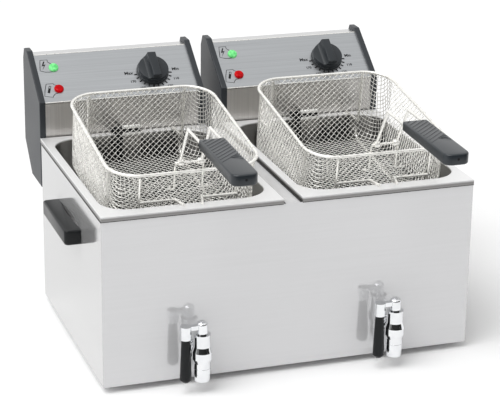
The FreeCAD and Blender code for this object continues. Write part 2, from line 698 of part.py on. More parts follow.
def make_rods(name, unit):
    pieces = []
    bores = []
    for sign in (-1, 1):
        side = "%d * rod_side" % sign
        spots = [(side, "axle_back", "axle_rise"), (side, "-bend_front", "bend_rise"),
                 (side,) + reach_spot("reach", "0")]
        pieces += wire_pieces([point(*spot) for spot in spots], "rod_wire")
        for group, radius, length in ((pieces, "2 * rod_wire", "eye_length"),
                                      (bores, "axle_wire + fit_gap", "3 * eye_length")):
            eye = doc.addObject("Part::Cylinder", "eye")
            bind(eye, "Radius", radius)
            bind(eye, "Height", length)
            spot = point("%s - %s / 2" % (side, length), "axle_back", "axle_rise")
            eye.Placement = FreeCAD.Placement(spot, FreeCAD.Rotation(vector(0, 1, 0), 90))
            group.append(eye)
    rods = doc.addObject("Part::Cut", name + "_handle_rods")
    rods.Label = name + "_handle_rods"
    rods.Base = fuse("rod_group", pieces)
    rods.Tool = fuse("bore_group", bores)
    place_basket(rods, unit)
    finished.append(rods)


def make_grip(name, unit):
    body = new_body(name + "_handle_grip")
    end = "reach + grip_length"
    profile = new_sketch(body, "YZ")
    polygon(profile, [
        reach_spot("reach", "-grip_drop"), reach_spot("reach", "grip_rise"),
        reach_spot(end, "grip_rise"), reach_spot(end, "-grip_drop - grip_belly / 2"),
        reach_spot(end + " - grip_width / 2", "-grip_drop - grip_belly")])
    pad(body, profile, "grip_width", both=True)
    tip = value(reach_spot(end, "0")[0] + " + grip_belly")
    soften(body, "tip_round", lambda edge: edge.BoundBox.YMax < tip and edge.BoundBox.XLength < 0.01)
    top = value(reach_spot("reach", "grip_rise / 2")[1])
    soften(body, "grip_rise / 2", lambda edge: edge.BoundBox.ZMin > top)
    place_basket(body, unit)


def make_unit(name, unit):
    """Everything that one of the two frying units is made of."""
    make_tank(name, unit)
    make_drain(name, unit)
    make_tap_body(name, unit)
    make_tap_lever(name, unit)
    make_tap_grip(name, unit)
    make_housing(name, unit)
    make_front_plate(name, unit)
    make_cheek(name, unit, "left", -1)
    make_cheek(name, unit, "right", 1)
    make_panel(name, unit)
    make_knob(name, unit)
    make_thermostat(name, unit)
    make_lamp(name, unit, "green")
    make_lamp(name, unit, "red")
    make_heater(name, unit)
    make_hanger(name, unit)
    make_bulb(name, unit)
    make_gland(name, unit)
    make_basket_shell(name, unit)
    make_basket_rim(name, unit)
    make_rests(name, unit)
    make_hooks(name, unit)
    make_axle(name, unit)
    make_rods(name, unit)
    make_grip(name, unit)


make_casing()
make_base_plate()
make_feet()
make_bridge()
make_shelf()
make_side_handle("side_handle_left", -1)
make_side_handle("side_handle_right", 1)
make_unit("left", "-unit_offset")
make_unit("right", "unit_offset")
doc.recompute()

# Check every object and write one file for each sub-part
for thing in doc.Objects:
    if "Invalid" in thing.State or "Error" in thing.State:
        raise ValueError("%s did not build" % thing.Label)
os.makedirs("parts", exist_ok=True)
for part in finished:
    if part.Shape.isNull() or not part.Shape.isValid():
        raise ValueError("%s has no valid shape" % part.Label)
    part.Shape.exportStep("parts/%s.step" % part.Label)
print("%d sub-parts written" % len(finished))
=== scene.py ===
import bmesh
import bpy
import math
from mathutils import Matrix, Vector


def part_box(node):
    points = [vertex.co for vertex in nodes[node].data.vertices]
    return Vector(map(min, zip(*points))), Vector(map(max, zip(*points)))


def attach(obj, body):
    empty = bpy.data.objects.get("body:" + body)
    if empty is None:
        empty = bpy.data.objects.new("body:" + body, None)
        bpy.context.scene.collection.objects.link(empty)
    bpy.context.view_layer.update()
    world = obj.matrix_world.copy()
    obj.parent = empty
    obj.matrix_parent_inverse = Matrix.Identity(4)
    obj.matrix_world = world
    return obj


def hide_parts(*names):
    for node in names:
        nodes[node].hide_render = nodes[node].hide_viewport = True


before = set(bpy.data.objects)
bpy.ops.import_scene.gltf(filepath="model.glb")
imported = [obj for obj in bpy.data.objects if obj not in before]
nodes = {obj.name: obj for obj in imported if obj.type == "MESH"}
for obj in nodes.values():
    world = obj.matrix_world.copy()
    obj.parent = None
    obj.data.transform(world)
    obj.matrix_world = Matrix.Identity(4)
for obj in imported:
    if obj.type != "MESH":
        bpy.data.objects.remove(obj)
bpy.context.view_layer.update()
scene = bpy.context.scene
scene.view_settings.view_transform = "Standard"

# Places that the pieces share with the solids, in metres
MM = 0.001
UNITS = {"left": -143 * MM, "right": 143 * MM}
casing_low, casing_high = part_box("casing")
CASING_FRONT = casing_low.y
CASING_SIDE = casing_high.x
HEAD_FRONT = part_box("left_front_plate")[0].y
TANK_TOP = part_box("left_tank")[1].z
KNEE = 313 * MM
PANEL_SLOPE = math.radians(36)
BASKET_SHIFT = 2.5 * MM
BASKET_FRONT = CASING_FRONT + 24 * MM
BASKET_HEIGHT = 303 * MM
BASKET_TILT = math.radians(8.6)


def basket_frame(unit):
    """The basket's own frame: front rim at the origin, tilted with the basket."""
    return (Matrix.Translation((unit + BASKET_SHIFT, BASKET_FRONT, BASKET_HEIGHT))
            @ Matrix.Rotation(BASKET_TILT, 4, "X"))


def panel_frame(unit):
    """The sloped control panel's own frame: lower edge at the origin, Z out of the panel."""
    return Matrix.Translation((unit, HEAD_FRONT, KNEE)) @ Matrix.Rotation(PANEL_SLOPE, 4, "X")


# Node helpers
def sum_node(tree, operation, *values, clamp=False):
    """A sum over patterns and plain numbers."""
    node = tree.nodes.new("ShaderNodeMath")
    node.operation = operation
    node.use_clamp = clamp
    for value, socket in zip(values, node.inputs):
        if isinstance(value, float):
            socket.default_value = value
        else:
            tree.links.new(value, socket)
    return node.outputs[0]


def span_node(tree, value, start, end, low=0.0, high=1.0):
    """Carry a value from one range into another, held at both ends."""
    node = tree.nodes.new("ShaderNodeMapRange")
    limits = {"From Min": start, "From Max": end, "To Min": low, "To Max": high}
    for socket, limit in limits.items():
        node.inputs[socket].default_value = limit
    tree.links.new(value, node.inputs["Value"])
    return node.outputs["Result"]


# Material helpers
DARK_STOP = 0.3
LIGHT_STOP = 0.7
BRUSH_BUMP = 0.12
GRAIN_BUMP = 0.15
BUMP_DEPTH = 0.2 * MM
MOTTLE_SCALE = 14
GRAIN_SCALE = 1500


class Finish:
    """A procedural material with one shader and the nodes that feed it."""

    def __init__(self, name, metallic, roughness):
        self.material = bpy.data.materials.new(name)
        self.material.use_nodes = True
        self.tree = self.material.node_tree
        self.inputs = self.tree.nodes["Principled BSDF"].inputs
        self.inputs["Metallic"].default_value = metallic
        self.inputs["Roughness"].default_value = roughness
        self.coords = self.tree.nodes.new("ShaderNodeTexCoord").outputs["Object"]

    def place(self, axis):
        """How far a spot lies along one axis of the part."""
        parts = self.tree.nodes.new("ShaderNodeSeparateXYZ")
        self.tree.links.new(self.coords, parts.inputs["Vector"])
        return parts.outputs[axis]

    def noise(self, scale, stretch=(1, 1, 1), detail=4.0):
        """A noise over the piece's own coordinates, stretched to give brushing or grain."""
        mapping = self.tree.nodes.new("ShaderNodeMapping")
        mapping.inputs["Scale"].default_value = stretch
        texture = self.tree.nodes.new("ShaderNodeTexNoise")
        texture.inputs["Scale"].default_value = scale
        texture.inputs["Detail"].default_value = detail
        self.tree.links.new(self.coords, mapping.inputs["Vector"])
        self.tree.links.new(mapping.outputs["Vector"], texture.inputs["Vector"])
        return texture.outputs["Fac"]

    def colours(self, fac, *stops):
        """Colour the piece by a ramp over a pattern; stops are (place, colour)."""
        ramp = self.tree.nodes.new("ShaderNodeValToRGB")
        elements = ramp.color_ramp.elements
        while len(elements) < len(stops):
            elements.new(0.5)
        for element, (spot, colour) in zip(elements, stops):
            element.position = spot
            element.color = (*colour, 1)
        self.tree.links.new(fac, ramp.inputs["Fac"])
        self.tree.links.new(ramp.outputs["Color"], self.inputs["Base Color"])

    def shades(self, fac, dark, light):
        """Vary the colour between two shades over a pattern."""
        self.colours(fac, (DARK_STOP, dark), (LIGHT_STOP, light))

    def rough(self, fac, low, high):
        """Let the roughness follow a pattern between two values."""
        self.tree.links.new(span_node(self.tree, fac, 0.0, 1.0, low, high), self.inputs["Roughness"])

    def bump(self, fac, strength):
        """Raise the surface by a pattern."""
        bump = self.tree.nodes.new("ShaderNodeBump")
        bump.inputs["Strength"].default_value = strength
        bump.inputs["Distance"].default_value = BUMP_DEPTH
        self.tree.links.new(fac, bump.inputs["Height"])
        self.tree.links.new(bump.outputs["Normal"], self.inputs["Normal"])


def grey(level, warm=0.0):
    return (level * (1 + warm), level, level * (1 - warm))


def around(value, share):
    """A little less and a little more than a value."""
    return value * (1 - share), value * (1 + share)


# Metals
def sheet_steel(name, level, stretch, roughness, warm=0.0, contrast=0.08):
    """Sheet steel with fine brushing along the axis that is stretched least."""
    finish = Finish(name, 1.0, roughness)
    brush = finish.noise(1.0, stretch)
    dark, light = around(level, contrast)
    finish.shades(brush, grey(dark, warm), grey(light, warm))
    finish.rough(brush, *around(roughness, 0.2))
    finish.bump(brush, BRUSH_BUMP)
    return finish.material


def casing_steel():
    """Fine-ground steel: a soft sheen on the front and a clear one on the two polished sides."""
    front_sheen = 0.28
    side_sheen = 0.72
    side_tone = grey(0.60)
    ground_dark = (0.668, 0.668, 0.676)
    ground_light = (0.686, 0.686, 0.694)
    finish = Finish("casing_steel", front_sheen, 0.1)
    tree = finish.tree
    brush = finish.noise(1.0, (6, 260, 260))
    across = sum_node(tree, "ABSOLUTE", finish.place("X"))
    polished = span_node(tree, across, CASING_SIDE - 1 * MM, CASING_SIDE - 0.2 * MM)
    tone = sum_node(tree, "MULTIPLY_ADD", polished, -0.6, brush)
    finish.colours(tone, (0.1, side_tone), (DARK_STOP, ground_dark), (LIGHT_STOP, ground_light))
    sheen = span_node(tree, polished, 0.0, 1.0, front_sheen, side_sheen)
    tree.links.new(sheen, finish.inputs["Metallic"])
    finish.rough(brush, 0.08, 0.13)
    finish.inputs["Specular IOR Level"].default_value = 0.05
    return finish.material


def tank_steel():
    """Pressed steel with a satin rim: the rim is painted bright, a painted highlight for the light from
    above, and the well is painted dark, painted shade inside the tank.
    """
    # Painted shade in the well and a painted highlight on the rim, with a fine grain over both
    shaded_well_tone = grey(0.25, 0.02)
    lit_rim_tone = grey(0.84)
    finish = Finish("tank_steel", 1.0, 0.3)
    rim = span_node(finish.tree, finish.place("Z"), TANK_TOP - 3 * MM, TANK_TOP - 1 * MM)
    grain = finish.noise(1.0, (8, 260, 260))
    tone = sum_node(finish.tree, "MULTIPLY_ADD", grain, 0.08, rim)
    finish.colours(tone, (0.0, shaded_well_tone), (1.0, lit_rim_tone))
    finish.rough(rim, 0.28, 0.62)
    return finish.material


def patchy_metal(name, metallic, patches, dark, light, gloss, satin):
    """Bare metal whose colour and roughness vary in patches."""
    finish = Finish(name, metallic, gloss)
    patch = finish.noise(patches)
    finish.shades(patch, dark, light)
    finish.rough(patch, gloss, satin)
    return finish.material


# Plastics, rubber and lenses
def moulded_plastic(name, colour, roughness, shine=0.5):
    """Satin moulded plastic with a fine spark-eroded grain."""
    finish = Finish(name, 0.0, roughness)
    finish.inputs["Specular IOR Level"].default_value = shine
    mottle = finish.noise(MOTTLE_SCALE)
    dark, light = zip(*(around(part, 0.1) for part in colour))
    finish.shades(mottle, dark, light)
    finish.rough(mottle, *around(roughness, 0.1))
    finish.bump(finish.noise(GRAIN_SCALE, detail=2.0), GRAIN_BUMP)
    return finish.material


def lamp_lens(name, dark, light, glow):
    """A lit coloured lens, brighter in patches."""
    finish = Finish(name, 0.0, 0.15)
    finish.colours(finish.noise(220, detail=1.0), (0.35, dark), (0.65, light))
    finish.inputs["Emission Color"].default_value = (*light, 1)
    finish.inputs["Emission Strength"].default_value = glow
    finish.inputs["Specular IOR Level"].default_value = 0.12
    return finish.material


CASING_STEEL = casing_steel()
TANK_STEEL = tank_steel()
HOUSING_STEEL = sheet_steel("housing_steel", 0.66, (6, 300, 300), 0.3, contrast=0.03)
PANEL_STEEL = sheet_steel("panel_steel", 0.42, (5, 700, 700), 0.34, warm=-0.03)
PLATE_STEEL = sheet_steel("plate_steel", 0.61, (700, 700, 5), 0.40, warm=0.03)
HANGER_STEEL = sheet_steel("hanger_steel", 0.40, (300, 300, 8), 0.42, warm=0.03)
WIRE = patchy_metal("bright_wire", 0.55, 90, (0.88, 0.87, 0.83), (0.97, 0.96, 0.92), 0.2, 0.36)
CHROME = patchy_metal("polished_chrome", 1.0, 60, (0.80, 0.81, 0.83), (0.88, 0.89, 0.90), 0.03, 0.1)
HEATER = patchy_metal("heater_tube", 1.0, 35, (0.20, 0.19, 0.18), (0.38, 0.37, 0.36), 0.3, 0.5)
BLACK_PLASTIC = moulded_plastic("black_plastic", (0.006, 0.007, 0.008), 0.3, 0.25)
GRIP_PLASTIC = moulded_plastic("grip_plastic", (0.013, 0.018, 0.023), 0.31, 0.55)
CHEEK_PLASTIC = moulded_plastic("cheek_plastic", (0.020, 0.024, 0.029), 0.42, 0.42)
KNOB_PLASTIC = moulded_plastic("knob_plastic", (0.022, 0.026, 0.030), 0.34, 0.3)
PRINT_INK = moulded_plastic("print_ink", (0.008, 0.008, 0.009), 0.6, 0.2)
# Near-white plastic for the bracket bars: a painted highlight for the shine of their polished metal
PAINTED_SHINE_BAR = moulded_plastic("bar_painted_shine", (0.92, 0.92, 0.89), 0.3)
RUBBER = moulded_plastic("foot_rubber", (0.02, 0.02, 0.02), 0.8)
CARD_CLOTH = moulded_plastic("card_cloth", (0.01, 0.01, 0.01), 0.9)
GREEN_LENS = lamp_lens("green_lens", (0.08, 0.48, 0.13), (0.22, 0.80, 0.28), 0.25)
RED_LENS = lamp_lens("red_lens", (0.36, 0.0, 0.002), (0.56, 0.001, 0.004), 0.1)

# Finishes on the solids
SHARED_FINISHES = {
    CASING_STEEL: ("casing", "base_plate", "centre_bridge", "head_shelf"),
    RUBBER: ("feet",),
    BLACK_PLASTIC: ("side_handle_left", "side_handle_right"),
}
UNIT_FINISHES = {
    TANK_STEEL: ("tank", "drain_pipe"),
    CHROME: ("tap_body", "tap_lever"),
    BLACK_PLASTIC: ("tap_grip", "thermostat", "cable_gland"),
    HOUSING_STEEL: ("head_housing",),
    PANEL_STEEL: ("control_panel",),
    PLATE_STEEL: ("front_plate",),
    KNOB_PLASTIC: ("knob",),
    CHEEK_PLASTIC: ("cheek_left", "cheek_right"),
    GRIP_PLASTIC: ("handle_grip",),
    GREEN_LENS: ("green_lamp",),
    RED_LENS: ("red_lamp",),
    HEATER: ("heater", "sensor_bulb"),
    HANGER_STEEL: ("heater_hanger",),
    WIRE: ("basket", "basket_rim", "basket_rests", "basket_hooks", "handle_axle", "handle_rods"),
}


def dress(finishes, prefix=""):
    """Give the solids' own meshes their finishes."""
    for material, names in finishes.items():
        for name in names:
            mesh = nodes[prefix + name].data
            mesh.materials.clear()
            mesh.materials.append(material)


dress(SHARED_FINISHES)
for side in UNITS:
    dress(UNIT_FINISHES, side + "_")

# Rounded edges on the cheeks and the tanks
CHEEK_ROUND = 1.5 * MM
RIM_ROUND = 0.5 * MM
WELD_GAP = 0.01 * MM


def round_edges(name, width, segments=3):
    """Round a solid's sharp edges for the picture, with its mesh left as it is."""
    solid = nodes[name]
    weld = solid.modifiers.new("weld", "WELD")
    weld.merge_threshold = WELD_GAP
    bevel = solid.modifiers.new("round", "BEVEL")
    bevel.width = width
    bevel.segments = segments
    bevel.limit_method = "ANGLE"
    bevel.angle_limit = math.radians(40)
    bevel.harden_normals = True


for side in UNITS:
    round_edges(side + "_cheek_left", CHEEK_ROUND)
    round_edges(side + "_cheek_right", CHEEK_ROUND)
    round_edges(side + "_tank", RIM_ROUND, 2)


# New pieces
def add_piece(name, mesh, material, body):
    """Put a finished mesh in the scene, riding on a body."""
    mesh.materials.clear()
    mesh.materials.append(material)
    piece = bpy.data.objects.new(name, mesh)
    scene.collection.objects.link(piece)
    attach(piece, body)
    return piece


def mesh_from_curve(name, curve, place):
    """Turn a curve or a word into a mesh at its place."""
    holder = bpy.data.objects.new(name, curve)
    scene.collection.objects.link(holder)
    bpy.context.view_layer.update()
    evaluated = holder.evaluated_get(bpy.context.evaluated_depsgraph_get())
    mesh = bpy.data.meshes.new_from_object(evaluated)
    bpy.data.objects.remove(holder)
    bpy.data.curves.remove(curve)
    mesh.transform(place)
    mesh.name = name
    return mesh


def wire_mesh(name, runs, radius, place, sides=4):
    """One mesh of round wires along runs of points."""
    curve = bpy.data.curves.new(name, "CURVE")
    curve.dimensions = "3D"
    curve.bevel_depth = radius
    curve.bevel_resolution = max(sides // 2 - 2, 0)
    curve.use_fill_caps = True
    for points in runs:
        spline = curve.splines.new("POLY")
        spline.points.add(len(points) - 1)
        for spot, target in zip(points, spline.points):
            target.co = (*spot, 1)
    return mesh_from_curve(name, curve, place)


def block(shape, low, high):
    """Add a box between two corners."""
    made = bmesh.ops.create_cube(shape, size=1)["verts"]
    size = Vector(high) - Vector(low)
    bmesh.ops.scale(shape, vec=size, verts=made)
    bmesh.ops.translate(shape, vec=Vector(low) + size / 2, verts=made)
    return made


def rod(shape, centre, radius, depth, sides=32, top=None):
    """Add an upright cylinder, or a cone if it has a top radius, standing on a centre."""
    made = bmesh.ops.create_cone(shape, cap_ends=True, segments=sides, radius1=radius,
                                 radius2=radius if top is None else top, depth=depth)["verts"]
    bmesh.ops.translate(shape, vec=Vector(centre) + Vector((0, 0, depth / 2)), verts=made)
    return made


def front_rod(shape, centre, radius, depth, sides):
    """Add a cylinder that points out of the front, standing on a centre."""
    made = rod(shape, (0, 0, 0), radius, depth, sides)
    bmesh.ops.rotate(shape, cent=(0, 0, 0), matrix=Matrix.Rotation(math.radians(90), 3, "X"), verts=made)
    bmesh.ops.translate(shape, vec=centre, verts=made)


def prism(shape, outline, along):
    """Add a flat outline carried along a way, and give the corners of both ends back."""
    near = [shape.verts.new(point) for point in outline]
    grown = bmesh.ops.extrude_face_region(shape, geom=[shape.faces.new(near)])["geom"]
    far = [part for part in grown if isinstance(part, bmesh.types.BMVert)]
    bmesh.ops.translate(shape, vec=along, verts=far)
    return near + far


def sharp_edges(shape, degrees):
    """The edges where two faces meet at more than an angle."""
    return [edge for edge in shape.edges if edge.calc_face_angle(0) > math.radians(degrees)]


def soften(shape, edges, width, segments):
    bmesh.ops.bevel(shape, geom=edges, offset=width, offset_type="OFFSET", segments=segments, profile=0.5,
                    affect="EDGES", material=-1)


def solid_piece(name, shape, place, material, body, replaced=None):
    """Finish a modelled shape as a piece on a body."""
    bmesh.ops.recalc_face_normals(shape, faces=shape.faces)
    mesh = bpy.data.meshes.new(name)
    shape.to_mesh(mesh)
    shape.free()
    mesh.transform(place)
    if place.determinant() < 0:
        mesh.flip_normals()
    for face in mesh.polygons:
        face.use_smooth = True
    piece = add_piece(name, mesh, material, body)
    mesh.set_sharp_from_angle(angle=math.radians(35))
    if replaced:
        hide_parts(replaced)


# Woven basket
WIRE_PITCH = 6.5 * MM
WEAVE_WIRE = 0.57 * MM
WEAVE_LIFT = WEAVE_WIRE * 0.8
WEAVE_STEP = 2 * MM / math.sqrt(2)
FRAME_WIRE = 1.5 * MM
FRAME_SIDE = 70 * MM
BASKET_WIDTH = 220 * MM
BASKET_LENGTH = 275 * MM
BASKET_DEPTH = 107.4 * MM
WALL_INSET = 5.1 * MM
RIM_INSET = 2.25 * MM
WALL_CORNER = 39.9 * MM
FLOOR_ROUND = 16.6 * MM
FLAT_X = BASKET_WIDTH / 2 - WALL_INSET - WALL_CORNER
FLAT_Y = BASKET_LENGTH / 2 - WALL_INSET - WALL_CORNER
FLOOR_CORNER = WALL_CORNER - FLOOR_ROUND
BEND_RUN = FLOOR_ROUND * math.pi / 2
WALL_RUN = BEND_RUN + BASKET_DEPTH - FLOOR_ROUND
SHEET_SPAN = BASKET_WIDTH + BASKET_LENGTH + 4 * WALL_RUN
CLIMBING = 0.7
CROWDING = 0.9
STRAIGHT = math.radians(3)
QUARTER = [math.radians(15 * turn) for turn in range(7)]


def drape(across, along, lift):
    """Where a spot of the flat woven sheet lies once it is pressed into the basket.

    Gives the spot, how far it is past the floor's edge, and the way out across that edge in a corner."""
    past_x = max(abs(across) - FLAT_X, 0)
    past_y = max(abs(along) - FLAT_Y, 0)
    distance = math.hypot(past_x, past_y)
    run = distance - FLOOR_CORNER
    middle = Vector((0, BASKET_LENGTH / 2, 0))
    if run <= 0:
        return middle + Vector((across, along, lift - BASKET_DEPTH)), run, None
    outward = Vector((math.copysign(past_x, across), math.copysign(past_y, along), 0)) / distance
    corner = outward if past_x and past_y else None
    edge = middle + Vector((across, along, 0)) - outward * run
    bend = FLOOR_ROUND - lift
    if run < BEND_RUN:
        angle = run / FLOOR_ROUND
        drop = Vector((0, 0, BASKET_DEPTH - FLOOR_ROUND + bend * math.cos(angle)))
        return edge + outward * bend * math.sin(angle) - drop, run, corner
    return edge + outward * bend + Vector((0, 0, run - WALL_RUN)), run, corner


def straighten(points):
    """Leave out the points that lie on a straight run."""
    kept = [points[0]]
    for here, following in zip(points[1:], points[2:]):
        if (here - kept[-1]).angle(following - here) > STRAIGHT:
            kept.append(here)
    return kept + [points[-1]]


def weave_runs(number, sign):
    """One wire of the weave, at 45 degrees on the flat sheet, from rim to rim.

    Round the corners the wires that climb close up, so only some of them go on to the rim."""
    offset = number * WIRE_PITCH / math.sqrt(2)
    heading = Vector((1, sign, 0)).normalized()
    reach = int(SHEET_SPAN / WEAVE_STEP)
    runs = [[]]
    for count in range(-reach, reach):
        way = count * WEAVE_STEP
        spot, run, corner = drape(offset + way, sign * (way - offset), sign * WEAVE_LIFT)
        crowd = 1
        if corner and abs(corner.dot(heading)) > CLIMBING:
            crowd = max(round((FLOOR_CORNER + run) / WALL_CORNER * CROWDING), 1)
        if run < WALL_RUN and number % crowd == 0:
            runs[-1].append(spot)
        elif runs[-1]:
            runs.append([])
    return [straighten(points) for points in runs if len(points) > 3]


def weave_basket(side, unit):
    """Two sets of wires that cross, one over the other, pressed into the basket's shape."""
    count = int(SHEET_SPAN / 2 / WIRE_PITCH)
    runs = []
    for sign in (-1, 1):
        for number in range(-count, count + 1):
            runs += weave_runs(number, sign)
    mesh = wire_mesh(side + "_weave", runs, WEAVE_WIRE, basket_frame(unit))
    piece = add_piece(side + "_weave", mesh, WIRE, side + "_basket_body")
    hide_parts(side + "_basket")


def frame_wires(side, unit):
    """Two stout wires under the weave, from the front rim along the floor to the foot of the rear wall."""
    low = -BASKET_DEPTH - WEAVE_WIRE * 2 - FRAME_WIRE
    front = WALL_INSET - WEAVE_WIRE * 2 - FRAME_WIRE
    back = BASKET_LENGTH - front
    runs = []
    for across in (-FRAME_SIDE, FRAME_SIDE):
        points = [Vector((across, front, -2 * RIM_INSET))]
        for angle in QUARTER:
            along = front + FLOOR_ROUND * (1 - math.cos(angle))
            points.append(Vector((across, along, low + FLOOR_ROUND * (1 - math.sin(angle)))))
        for angle in QUARTER:
            along = back - FLOOR_ROUND * (1 - math.sin(angle))
            points.append(Vector((across, along, low + FLOOR_ROUND * (1 - math.cos(angle)))))
        runs.append(points)
    mesh = wire_mesh(side + "_frame_wires", runs, FRAME_WIRE, basket_frame(unit), sides=8)
    add_piece(side + "_frame_wires", mesh, WIRE, side + "_basket_body")


for side, unit in UNITS.items():
    weave_basket(side, unit)
    frame_wires(side, unit)

# Folding handle: ribbed grip and wound eyes
BEND_FRONT = 27 * MM
BEND_RISE = 78 * MM
REACH_SLOPE = math.radians(7)
GRIP_START = 55 * MM
GRIP_END = 197 * MM
GRIP_WIDTH = 35.5 * MM
GRIP_RISE = 5 * MM
GRIP_DROP = 8 * MM
GRIP_BELLY = 4.5 * MM
TIP_ROUND = 11 * MM
GRIP_ROUND = 2.2 * MM
HOLE_RADIUS = 1.7 * MM
HOLE_DEPTH = 1 * MM
HOLE_SINK = 0.95 * MM
HOLE_DROP = 2 * MM
RIB_PITCH = 9 * MM
RIB_COUNT = 10
RIB_SLANT = 27 * MM
RIB_EDGE = 3 * MM
RIB_SINK = 0.25 * MM
RIB_WIRE = 0.8 * MM
FAN_COUNT = 3
FAN_STEP = 2 * MM
FAN_SPREAD = RIB_PITCH * 0.8
FAN_BOW = 2.5 * MM
FAN_PARTS = 6
AXLE_RISE = 14.8 * MM
AXLE_BACK = 2.2 * MM
ROD_SIDE = 15.2 * MM
EYE_RADIUS = 3.4 * MM
EYE_WIRE = 1.4 * MM
EYE_PITCH = 1.9 * MM
EYE_START = 0.4
EYE_SPREAD = 13
EYE_STEPS = 40
EYE_TURN = math.radians(27)


def handle_frame(unit):
    """The handle's own frame: the rods' bend at the origin, the grip out along -Y."""
    return (basket_frame(unit) @ Matrix.Translation((0, -BEND_FRONT, BEND_RISE))
            @ Matrix.Rotation(-REACH_SLOPE, 4, "X"))


def grip(side, unit):
    """A flat bar that is deeper at its rounded tip."""
    shape = bmesh.new()
    half = GRIP_WIDTH / 2
    block(shape, (-half, -GRIP_END, -GRIP_DROP), (half, -GRIP_START, GRIP_RISE))
    tip = [corner for corner in shape.verts if corner.co.y < -GRIP_END + MM]
    for corner in tip:
        if corner.co.z < 0:
            corner.co.z -= GRIP_BELLY / 2
    upright = [edge for edge in shape.edges if all(end in tip for end in edge.verts)
               and abs(edge.verts[0].co.z - edge.verts[1].co.z) > MM]
    soften(shape, upright, TIP_ROUND, 6)
    soften(shape, sharp_edges(shape, 50), GRIP_ROUND, 3)
    solid_piece(side + "_grip", shape, handle_frame(unit), GRIP_PLASTIC, side + "_handle",
                side + "_handle_grip")


def grip_hole_shade(side, unit):
    """A black disc on the grip's front end: painted shade for the mouth of its small hole."""
    shape = bmesh.new()
    front_rod(shape, (0, -GRIP_END + HOLE_SINK, -HOLE_DROP), HOLE_RADIUS, HOLE_DEPTH, 16)
    solid_piece(side + "_grip_hole_shade", shape, handle_frame(unit), PRINT_INK, side + "_handle")


def grip_ribs(side, unit):
    """Slanting ribs over the rear of the grip, and a fan of curved ones where they end."""
    half = GRIP_WIDTH / 2 - RIB_EDGE
    height = GRIP_RISE - RIB_SINK
    back = -GRIP_START - RIB_EDGE
    runs = []
    for number in range(RIB_COUNT):
        start = -GRIP_START - RIB_PITCH * (number + 1)
        reach = min((back - start) / RIB_SLANT, 1)
        runs.append([Vector((-half, start, height)),
                     Vector((-half + 2 * half * reach, start + RIB_SLANT * reach, height))])
    last = -GRIP_START - RIB_PITCH * RIB_COUNT + RIB_SLANT / 2
    for number in range(FAN_COUNT):
        begin = Vector((number * FAN_STEP, last - number * FAN_STEP / 2, height))
        finish = Vector((half, last + RIB_SLANT / 4 - number * FAN_SPREAD, height))
        points = []
        for part in range(FAN_PARTS + 1):
            bow = math.sin(part / FAN_PARTS * math.pi) * FAN_BOW
            points.append(begin.lerp(finish, part / FAN_PARTS) + Vector((0, bow, 0)))
        runs.append(points)
    mesh = wire_mesh(side + "_grip_ribs", runs, RIB_WIRE, handle_frame(unit), sides=6)
    add_piece(side + "_grip_ribs", mesh, GRIP_PLASTIC, side + "_handle")


def wound_eyes(side, unit):
    """Three close turns of wire on the axle at the foot of each rod."""
    runs = []
    for across in (-ROD_SIDE, ROD_SIDE):
        inward = -math.copysign(EYE_PITCH, across)
        points = []
        for number in range(EYE_STEPS + 1):
            angle = EYE_TURN * number
            points.append(Vector((across + inward * (number / EYE_SPREAD - EYE_START),
                                  AXLE_BACK + EYE_RADIUS * math.cos(angle),
                                  AXLE_RISE + EYE_RADIUS * math.sin(angle))))
        runs.append(points)
    mesh = wire_mesh(side + "_wound_eyes", runs, EYE_WIRE, basket_frame(unit), sides=6)
    add_piece(side + "_wound_eyes", mesh, WIRE, side + "_handle")


for side, unit in UNITS.items():
    grip(side, unit)
    grip_ribs(side, unit)
    grip_hole_shade(side, unit)
    wound_eyes(side, unit)

# Control panel: knob, dial print, lamp tabs and painted highlights along its folds
KNOB_SIDE = 57 * MM
KNOB_UP = 44 * MM
KNOB_RADIUS = 25 * MM
KNOB_GAP = 0.6 * MM
KNOB_DISC = 10 * MM
KNOB_TOP = 20.6 * MM
KNOB_SKIRT = 3 * MM
KNOB_STEP = 0.6 * MM
KNOB_DRAFT = 1.6 * MM
KNOB_ROUND = 0.8 * MM
BAR_SINK = 0.5 * MM
BAR_TAIL = 22.5 * MM
BAR_LENGTH = 46.2 * MM
BAR_INSET = 1.4 * MM
BAR_FOOT = (-13 * MM, 6.8 * MM)
BAR_CREST = (-6 * MM, 6.5 * MM)
BAR_SCOOP = ((-6.6 * MM, 17 * MM), (-7.8 * MM, 13.8 * MM), (-9.6 * MM, 11.6 * MM))
TICKS = 12
TICK_FIRST = 187
TICK_STEP = 15
TICK_START = 25.5 * MM
TICK_END = 30 * MM
TICK_HALF = 1.2 * MM
TICK_HEIGHT = 0.12 * MM
INK_HEIGHT = 0.06 * MM
INK_SPREAD = 0.22 * MM
FOLD_HALF = 120 * MM
FOLD_WIRE = 0.9 * MM
FOLD_SINK = 0.5 * MM
FOLD_PLACES = (0.3 * MM, 92.6 * MM)

# Each word on the dial, its angle in degrees, and its distance and size in millimetres
DIAL_WORDS = (("Max", 180, 38, 8), ("170", 206, 38, 6), ("150", 234, 37, 6), ("130", 306, 37, 6),
              ("110", 334, 38, 6), ("Min", 363, 37, 7.5))

